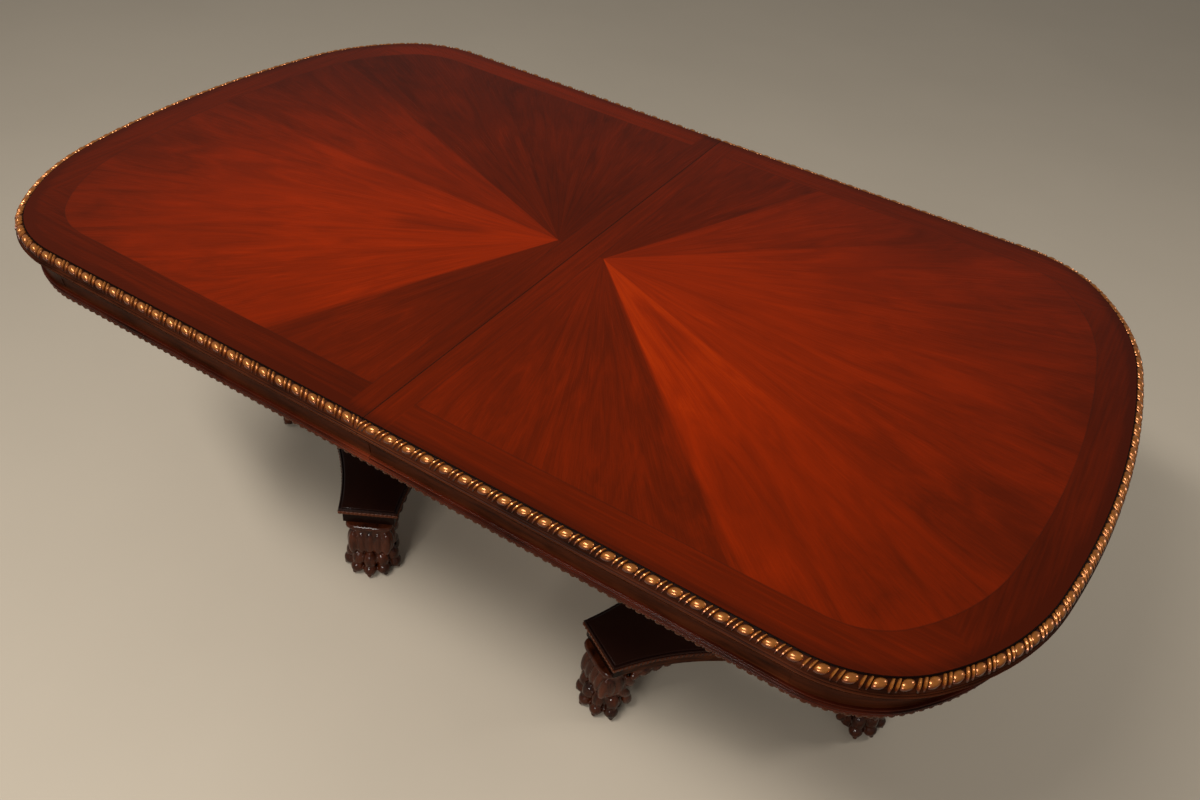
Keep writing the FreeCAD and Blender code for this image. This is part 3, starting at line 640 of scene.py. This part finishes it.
def on_halves(name, bm, finish, right_nodes=(), left_nodes=(), mirrored=False):
    """A piece of the right half, and the same on the left half, turned round or mirrored at the seam."""
    right = new_mesh(name, bm)
    left = right.copy()
    if mirrored:
        left.transform(Matrix.Diagonal((-1.0, 1.0, 1.0, 1.0)))
        left.flip_normals()
    else:
        left.transform(HALF_TURN)
    put("right_" + name, right, finish, "right_half", right_nodes, crease=50.0)
    put("left_" + name, left, finish, "left_half", left_nodes, crease=50.0)


rail_brown = mahogany(
    "apron_brown_mahogany", (0.012, 0.0029, 0.0011), (0.050, 0.0112, 0.0038), (0.088, 0.0215, 0.0072),
    BENT_GRAIN, roughness=0.34, coat=0.0, specular=0.01, rub=(0.56, 0.70))
rail_section = [(RAIL_BACK, RAIL_FOOT), (RAIL_BACK, RAIL_TOP)]
chord = Vector((COVE_FOOT - COVE_TOP, RAIL_FOOT - RAIL_TOP))
hollow = Vector((chord.y, -chord.x)).normalized() * COVE_SAG
for k in range(COVE_STEPS + 1):
    share = k / COVE_STEPS
    rail_section.append(Vector((COVE_TOP, RAIL_TOP)) + chord * share + hollow * (4 * share * (1 - share)))
for name, first, last, right_node, left_node in (
    ("near_apron_rail", 0, 0, "right_near_rail", "left_far_rail"),
    ("far_apron_rail", last_stretch, last_stretch, "right_far_rail", "left_near_rail"),
    ("end_apron_rail", 1, last_stretch - 1, "right_end_rail", "left_end_rail"),
):
    rail = rim_sweep(rail_section, first, last)
    on_halves(name, rail, rail_brown, [right_node], [left_node])


# Lower moulding
# A red mahogany moulding runs along the foot of the apron: a fine lip, three bright beads between quirks,
# and a carved band of small leaf tips along its lower edge. It is glued and pinned under the rails.
LOWER_FOOT = -0.100
LOWER_REACH = 70
LEAF_PITCH, LEAF_START = 0.0140, 0.6
LEAF_TALL, LEAF_THICK = 0.0042, 0.0030
# Shift and width in pitches, height and distance out of a leaf and of the bud beside it
LEAF_LUMPS = [(0.0, 0.36, LEAF_TALL, 0.0), (0.5, 0.16, 0.0030, -0.0006)]
LEAF_OUT, LEAF_Z = COVE_FOOT - 0.0026, -0.0960
lower_red = mahogany(
    "lower_red_mahogany", (0.006, 0.0013, 0.0007), (0.048, 0.0066, 0.0022), (0.150, 0.024, 0.0080),
    BENT_GRAIN, roughness=0.2, coat=0.06, specular=0.02)
leaf_brown = mahogany(
    "leaf_brown_mahogany", (0.006, 0.0018, 0.0010), (0.028, 0.0078, 0.0030), (0.085, 0.024, 0.009),
    grain=(6.0, 6.0, 6.0), roughness=0.28, coat=0.15, specular=0.02, rub=(0.52, 0.66))


def bead(out, z, radius, reach, count=5):
    """Points down the outside of a bead, from one angle above the level to the same below."""
    turns = [math.radians(reach * (1 - 2 * k / (count - 1))) for k in range(count)]
    return [(out + radius * math.cos(t), z + radius * math.sin(t)) for t in turns]


lower_section = [
    (RAIL_BACK, LOWER_FOOT), (RAIL_BACK, RAIL_FOOT), (COVE_FOOT + 0.0020, RAIL_FOOT),
    *bead(COVE_FOOT + 0.0026, -0.0774, 0.0012, LOWER_REACH),
    (COVE_FOOT + 0.0006, -0.0792), (COVE_FOOT + 0.0006, -0.0802),
    *bead(COVE_FOOT + 0.0008, -0.0832, 0.0030, LOWER_REACH, 9),
    (COVE_FOOT + 0.0002, -0.0864),
    *bead(COVE_FOOT + 0.0012, -0.0880, 0.0014, LOWER_REACH),
    (COVE_FOOT - 0.0002, -0.0896),
    *bead(COVE_FOOT + 0.0004, -0.0910, 0.0012, LOWER_REACH),
    (COVE_FOOT - 0.0020, -0.0924), (COVE_FOOT - 0.0022, -0.0975), (COVE_FOOT - 0.0060, LOWER_FOOT),
]
on_halves("lower_moulding", rim_sweep(lower_section), lower_red,
          ["right_lower_moulding"], ["left_lower_moulding"])

leaf_tip = bmesh.new()
for shift, wide, tall, out in LEAF_LUMPS:
    place = Matrix.Translation((LEAF_PITCH * shift, out, (LEAF_TALL - tall) * 0.6))
    size = Matrix.Diagonal((LEAF_PITCH * wide, LEAF_THICK, tall, 1.0))
    bmesh.ops.create_uvsphere(leaf_tip, u_segments=8, v_segments=6, radius=1.0, matrix=place @ size)
leaf_count = round(rim_length / LEAF_PITCH)
leaf_places = [rim_frame((k + LEAF_START) * rim_length / leaf_count, LEAF_OUT, LEAF_Z)
               for k in range(leaf_count)]
leaves = repeated(new_mesh("leaf_tip", leaf_tip), leaf_places)
on_halves("leaf_band", leaves, leaf_brown)


# Gadrooned edge
# The edge of the top is a carved mahogany moulding: a fine bead beside the flat, then a round carved in
# eggs with two reeds between them, and two fillets underneath. Its crests are rubbed through to gold,
# with painted highlight on the carving's upper side and painted shade on its under side.
EDGE_REACH = 75
QUIRK_FOOT, QUIRK_TOP = 0.0024, 0.0018
# Depths below the top over which the carving goes from painted shade below to painted highlight above
PAINTED_SHADE_DEPTH, PAINTED_HIGHLIGHT_DEPTH = 0.0105, 0.0025
GADROON_PITCH = 0.0305
EGG_START = 0.0210
# Distance along and share of the full size
EGG_RINGS = [
    (0.0086, 0.30), (0.0076, 0.62), (0.0054, 0.88), (0.0018, 1.0), (-0.0022, 0.98), (-0.0056, 0.84),
    (-0.0078, 0.58), (-0.0090, 0.22),
]
EGG_HALF, EGG_RISE = 0.0072, 0.0070
REED_PLACES = (0.0113, 0.0189)
REED_HALF, REED_RISE, REED_TAPER = 0.0026, 0.0064, 0.5
REED_SPAN, REED_BEND = 0.0076, 0.0010
REED_STEPS = 6
LOBE_POINTS, LOBE_SLANT = 10, 0.45
BAND_OUT, BAND_Z = 0.0066, -0.0072
BAND_LEAN = math.radians(-44.0)


def beside_flat(place):
    """1 on the black quirk beside the veneered flat."""
    return place.along("Z").step(TOP_Z - QUIRK_FOOT, TOP_Z - QUIRK_TOP)


edge_dark = mahogany(
    "edge_dark_mahogany", (0.0045, 0.0016, 0.0010), (0.048, 0.0104, 0.0034), (0.120, 0.031, 0.0095),
    BENT_GRAIN, roughness=0.4, coat=0.0, specular=0.02, stain_and_shade_mask=beside_flat)
edge_section = [
    (0.0, RAIL_TOP), (0.0, -0.0002), (0.0005, 0.0), (0.0012, -0.0003), (0.0016, -0.0014),
    (0.0022, -0.0022), (0.0046, -0.0025), (0.0080, -0.0040), (0.0108, -0.0068), (0.0126, -0.0104),
    (0.0130, -0.0136), (0.0127, -0.0148),
    *bead(0.0131, -0.0164, 0.0011, EDGE_REACH),
    (0.0130, -0.0182), (0.0134, -0.0188),
    *bead(0.0142, -0.0204, 0.0013, EDGE_REACH),
    (0.0136, -0.0224), (0.0134, RAIL_TOP),
]
on_halves("edge_moulding", rim_sweep(edge_section), edge_dark,
          ["right_edge_moulding"], ["left_edge_moulding"], mirrored=True)


def gilded(name, low, face, crest):
    """Carving rubbed through to golden wood on its crests, with painted highlight on its upper side and
    painted shade under it.
    """
    material, shader, place = new_finish(name, roughness=0.25, coat=0.5, specular=0.2, coat_roughness=0.26)
    grain = place.noise(160.0, detail=3.0)
    # Painted light: upper side golden as a highlight, under side dark as shade; raised edges and grain add
    # wear.
    height = place.along("Z").step(TOP_Z - PAINTED_SHADE_DEPTH, TOP_Z - PAINTED_HIGHLIGHT_DEPTH)
    raised = place.node("NewGeometry", {}, {}, "Pointiness").step(0.45, 0.62)
    wear_and_painted_light = height * 0.65 + raised * 0.3 + grain * 0.3 - 0.15
    stain_and_painted_light = wear_and_painted_light.node("ValToRGB", {"stops": [(0.22, low), (0.62, face), (1.0, crest)]}, {"Fac": wear_and_painted_light})
    feed(shader, "Base Color", stain_and_painted_light)
    feed(shader, "Metallic", wear_and_painted_light.step(0.2, 0.8) * 0.6)
    feed(shader, "Roughness", 0.18 + grain * 0.16)
    emboss(shader, grain, strength=0.1, distance=0.0004)
    return material


golden = gilded("gadroon_golden", (0.010, 0.0028, 0.0009), (0.110, 0.0200, 0.0028), (0.420, 0.140, 0.0200))
lobe_turns = [2 * math.pi * k / LOBE_POINTS for k in range(LOBE_POINTS)]
lobe_ring = [(0.0, math.cos(t), math.sin(t)) for t in lobe_turns]
egg_places = []
for x, share in EGG_RINGS:
    size = Matrix.Diagonal((1.0, EGG_HALF * share, EGG_RISE * share, 1.0))
    egg_places.append(Matrix.Translation((x, 0.0, 0.0)) @ size)
gadroon = bmesh.new()
stacked(gadroon, lobe_ring, egg_places)
across_rim = Matrix.Rotation(math.pi / 2, 4, "Z")
for reed in REED_PLACES:
    reed_places = []
    for k in range(REED_STEPS + 1):
        share = 2 * k / REED_STEPS - 1
        taper = 1.0 - REED_TAPER * share ** 2
        place = Matrix.Translation((reed - REED_BEND * share ** 2, share * REED_SPAN, 0.0)) @ across_rim
        reed_places.append(place @ Matrix.Diagonal((1.0, REED_HALF * taper, REED_RISE * taper, 1.0)))
    stacked(gadroon, lobe_ring, reed_places)
bmesh.ops.transform(gadroon, matrix=Matrix.Shear("XZ", 4, (LOBE_SLANT, 0.0)), verts=gadroon.verts)
gadroon_unit = new_mesh("gadroon", gadroon)
gadroon_unit.transform(Matrix.Rotation(BAND_LEAN, 4, "X"))
gadroon_count = round(rim_length / GADROON_PITCH)
gadroon_step = rim_length / gadroon_count
gadroon_places = [rim_frame(k * gadroon_step + EGG_START, BAND_OUT, BAND_Z) for k in range(gadroon_count)]
gadroons = repeated(gadroon_unit, gadroon_places)
trim(gadroons, (SEAM, 0, 0), (-1, 0, 0))
on_halves("gadroons", gadroons, golden, mirrored=True)


# Veneered top
# Each half is a panel veneered in rays of flame mahogany that spread from the middle of the seam, within
# a border of straight-grained bands and thin strings, under clear satin lacquer. Bare wood underneath.
BORDER = 0.060
SEAM_BORDER = 0.037
STRING = 0.0016
VENEER = 0.002
RAY_APEX = 0.045
RAYS, RAY_JOINT = 8, 0.015
RAY_TURN = math.pi / RAYS
# Tones run from 0, dark, to 1, light: each leaf's own colour together with painted sheen that the leaf
# shows as its grain meets the light. The border's are those of the near side, the far side and the end
RAY_TONES_AND_SHEEN = {
    "right": (0.30, 0.27, 0.84, 0.63, 0.60, 0.62, 0.48, 0.22),
    "left": (0.20, 0.62, 0.70, 0.62, 0.42, 0.16, 0.10, 0.12),
}
BORDER_TONES_AND_SHEEN = {"right": (0.26, 0.30, 0.14), "left": (0.08, 0.34, 0.20)}
SEAM_TONES_AND_SHEEN = {"right": 0.28, "left": 0.20}
MEAN_TONE = 0.42
# How much darker the rays grow towards their outer ends
OUTER_DARKENING = {"right": 0.20, "left": 0.28}
CROTCH_RAY, CROTCH_OUT, CROTCH_STAIN = 2.75, 0.20, 0.22
# How much darker the veneer grows towards its rim, and over what width
RIM_DARKENING, RIM_DARKENING_WIDTH = 0.22, 0.024
VENEER_STOPS = [
    (0.00, (0.046, 0.0052, 0.0012)), (0.25, (0.085, 0.0076, 0.0011)), (0.50, (0.148, 0.0108, 0.0009)),
    (0.75, (0.220, 0.0150, 0.0008)), (1.00, (0.330, 0.0260, 0.0010)),
]
STRING_DARK = (0.030, 0.0060, 0.0025)
UNDER_DARK, UNDER_PALE = (0.120, 0.050, 0.020), (0.210, 0.096, 0.040)
LONG_GRAIN, CROSS_GRAIN = (3.0, 70.0, 1.0), (70.0, 3.0, 1.0)


def rim_distance(out, across):
    """How far a place on the flat is from its rim, found from the arc or the side that lies nearest."""
    distance = FLAT_HALF_WIDTH - across
    regions = (
        (corner_centre, CORNER_RADIUS, TURN_ANGLE, math.pi / 2),
        (shoulder_centre, SHOULDER_RADIUS, end_angle, TURN_ANGLE),
        (end_centre, END_RADIUS, -end_angle, end_angle),
    )
    for centre, radius, low, high in regions:
        x, y = out - centre.x, across - centre.y
        inside = out.math("COMPARE", out.math("ARCTAN2", y, x), (low + high) / 2, (high - low) / 2)
        distance = inside.pick(distance, radius - out.math("SQRT", x * x + y * y))
    return distance


def joined(x, y, z):
    """A place made of three values."""
    return x.node("CombineXYZ", {}, {"X": x, "Y": y, "Z": z})


for half, sign in (("right", 1.0), ("left", -1.0)):
    material, shader, place = new_finish("ray_veneer_" + half, roughness=0.3, specular=0.03)
    x, y, z = (place.along(axis) for axis in "XYZ")
    out = x * sign
    across = abs(y)
    from_rim = rim_distance(out, across)

    reach = out - RAY_APEX
    radius = out.math("SQRT", reach * reach + y * y)
    ray = out.math("ARCTAN2", y, reach) / RAY_TURN + RAYS / 2
    stops = []
    # Painted sheen: each ray takes its own tone, partly its colour and partly the sheen of its grain.
    for k, tone_and_sheen in enumerate(RAY_TONES_AND_SHEEN[half]):
        stops += [((k + RAY_JOINT) / RAYS, (tone_and_sheen,) * 3), ((k + 1 - RAY_JOINT) / RAYS, (tone_and_sheen,) * 3)]
    tone_and_sheen = ray.node("ValToRGB", {"stops": stops}, {"Fac": ray / RAYS})
    tone_and_sheen = tone_and_sheen.node("RGBToBW", {}, {"Color": tone_and_sheen})
    fold = ray.math("PINGPONG", ray, 1.0)
    whole = ray.math("FLOOR", ray)
    flame = joined(fold * 1.6, radius * 1.6, whole * 3.7).noise(3.0, 8.0, 0.62, 1.4)
    streak = joined(fold * 22.0, radius * 3.0, whole).noise(3.0, 5.0, 0.6, 0.8)
    pores = joined(fold * 90.0, radius * 14.0, whole).noise(3.0, 4.0, 0.6, 0.5)
    cloud = place.noise(3.2, 4.0, 0.5)
    fade = 1.0 - radius.step(0.06, 0.80) * 0.6
    outer = radius.step(0.35, 0.85) * OUTER_DARKENING[half]
    crotch = 1.0 - abs(ray - CROTCH_RAY + (cloud - 0.5) * 1.2).step(0.05, 0.34)
    crotch = crotch * (1.0 - abs(radius - CROTCH_OUT).step(0.04, 0.12))
    field = MEAN_TONE + (tone_and_sheen - MEAN_TONE) * fade - outer - crotch * CROTCH_STAIN
    field = field + (flame - 0.5) * 0.62 + (streak - 0.5) * 0.24
    field = field + (cloud - 0.5) * 0.35 + (pores - 0.5) * 0.22

    beside_seam = out.math("LESS_THAN", out, SEAM_BORDER)
    along_grain = place.stretched(LONG_GRAIN).noise(3.0, 5.0, 0.6, 0.3)
    end_grain = place.stretched(CROSS_GRAIN).noise(3.0, 5.0, 0.6, 0.3)
    at_end = (out - across).step(0.36, 0.37)
    banding = beside_seam.pick(at_end.pick(along_grain, end_grain), end_grain)
    # Painted sheen: near side, far side and end of the border differ partly by the sheen of their grain.
    near_tone_and_sheen, far_tone_and_sheen, end_tone_and_sheen = BORDER_TONES_AND_SHEEN[half]
    side_tone_and_sheen = y.step(-0.01, 0.01).pick(near_tone_and_sheen, far_tone_and_sheen)
    border = (out - across).step(0.26, 0.50).pick(side_tone_and_sheen, end_tone_and_sheen)
    border = beside_seam.pick(border, SEAM_TONES_AND_SHEEN[half])
    border = border + (banding - 0.5) * 0.5 + (cloud - 0.5) * 0.4
    inner = out.math("MINIMUM", from_rim - BORDER, out - SEAM_BORDER)
    in_border = inner.math("LESS_THAN", inner, 0.0)
    level = in_border.pick(field, border) - RIM_DARKENING * (1.0 - from_rim.step(0.0, RIM_DARKENING_WIDTH))
    stain_and_painted_light = level.node("ValToRGB", {"stops": VENEER_STOPS}, {"Fac": level})
    string = 1.0 - abs(inner).step(STRING * 0.35, STRING)
    joint = 1.0 - out.step(0.0006, 0.0020)
    line = out.math("MAXIMUM", string * 0.35, joint * 0.8)
    veneered = z.step(TOP_Z - VENEER, TOP_Z - VENEER / 2)
    under = (along_grain + cloud * 0.5).step(0.4, 1.1).between(UNDER_DARK, UNDER_PALE)
    feed(shader, "Base Color", veneered.between(under, line.between(stain_and_painted_light, STRING_DARK)))
    feed(shader, "Roughness", 0.27 + (streak - 0.5) * 0.06 + (cloud - 0.5) * 0.08)
    emboss(shader, streak, strength=0.03, distance=0.0003)
    dress(material, half + "_top_panel")


# Floor, light and camera
# A plain pale floor, a faint even light from all round and three soft lamps. The camera looks down on the
# table from above its near long side.
FLOOR_TONE, FLOOR_HALF = (0.48, 0.42, 0.34), 40.0
WORLD_LIGHT, WORLD_STRENGTH = (1.0, 0.97, 0.92), 0.30
LAMP_LIGHT = (1.0, 0.96, 0.90)
CAMERA_PLACE = (0.7157, -1.2722, 1.6708)
AZIMUTH, ELEVATION, ROLL = (math.radians(angle) for angle in (26.83, 40.22, 7.26))
SENSOR_WIDTH, LENS = 36.0, 30.28

ground = bmesh.new()
bmesh.ops.create_grid(ground, x_segments=1, y_segments=1, size=FLOOR_HALF)
floor = bpy.data.objects.new("floor", new_mesh("floor", ground))
bpy.context.scene.collection.objects.link(floor)
floor_pale, floor_shader, floor_place = new_finish("pale_floor", roughness=0.75, specular=0.1)
floor_darker = tuple(0.9 * c for c in FLOOR_TONE)
feed(floor_shader, "Base Color", floor_place.noise(1.4, detail=5.0).between(FLOOR_TONE, floor_darker))
floor.data.materials.append(floor_pale)

world = bpy.data.worlds.new("soft_room")
world.use_nodes = True
background = world.node_tree.nodes["Background"]
background.inputs["Color"].default_value = (*WORLD_LIGHT, 1.0)
background.inputs["Strength"].default_value = WORLD_STRENGTH
bpy.context.scene.world = world


def lamp(name, place, aim, size, power):
    data = bpy.data.lights.new(name, "AREA")
    data.shape = "RECTANGLE"
    data.size, data.size_y = size
    data.energy = power
    data.color = LAMP_LIGHT
    piece = bpy.data.objects.new(name, data)
    piece.location = place
    piece.rotation_euler = (Vector(aim) - Vector(place)).to_track_quat("-Z", "Y").to_euler()
    bpy.context.scene.collection.objects.link(piece)


lamp("key_lamp", (-0.7, -1.6, 3.1), aim=(0.0, 0.0, 0.5), size=(1.8, 0.35), power=88.0)
lamp("front_lamp", (0.4, -2.9, 1.15), aim=(0.0, -0.3, 0.45), size=(1.0, 0.12), power=36.0)
lamp("side_lamp", (2.8, 2.0, 2.6), aim=(0.0, 0.0, 0.5), size=(0.8, 0.6), power=30.0)

camera_data = bpy.data.cameras.new("camera")
camera_data.sensor_width = SENSOR_WIDTH
camera_data.lens = LENS
camera = bpy.data.objects.new("camera", camera_data)
level_back = Vector((math.sin(AZIMUTH), -math.cos(AZIMUTH), 0.0)) * math.cos(ELEVATION)
back = level_back + Vector((0.0, 0.0, math.sin(ELEVATION)))
level_right = Vector((math.cos(AZIMUTH), math.sin(AZIMUTH), 0.0))
level_axes = Matrix((level_right, back.cross(level_right), back)).transposed().to_4x4()
camera.matrix_world = Matrix.Translation(CAMERA_PLACE) @ level_axes @ Matrix.Rotation(ROLL, 4, "Z")
bpy.context.scene.collection.objects.link(camera)
bpy.context.scene.camera = camera
bpy.context.scene.view_settings.view_transform = "Standard"
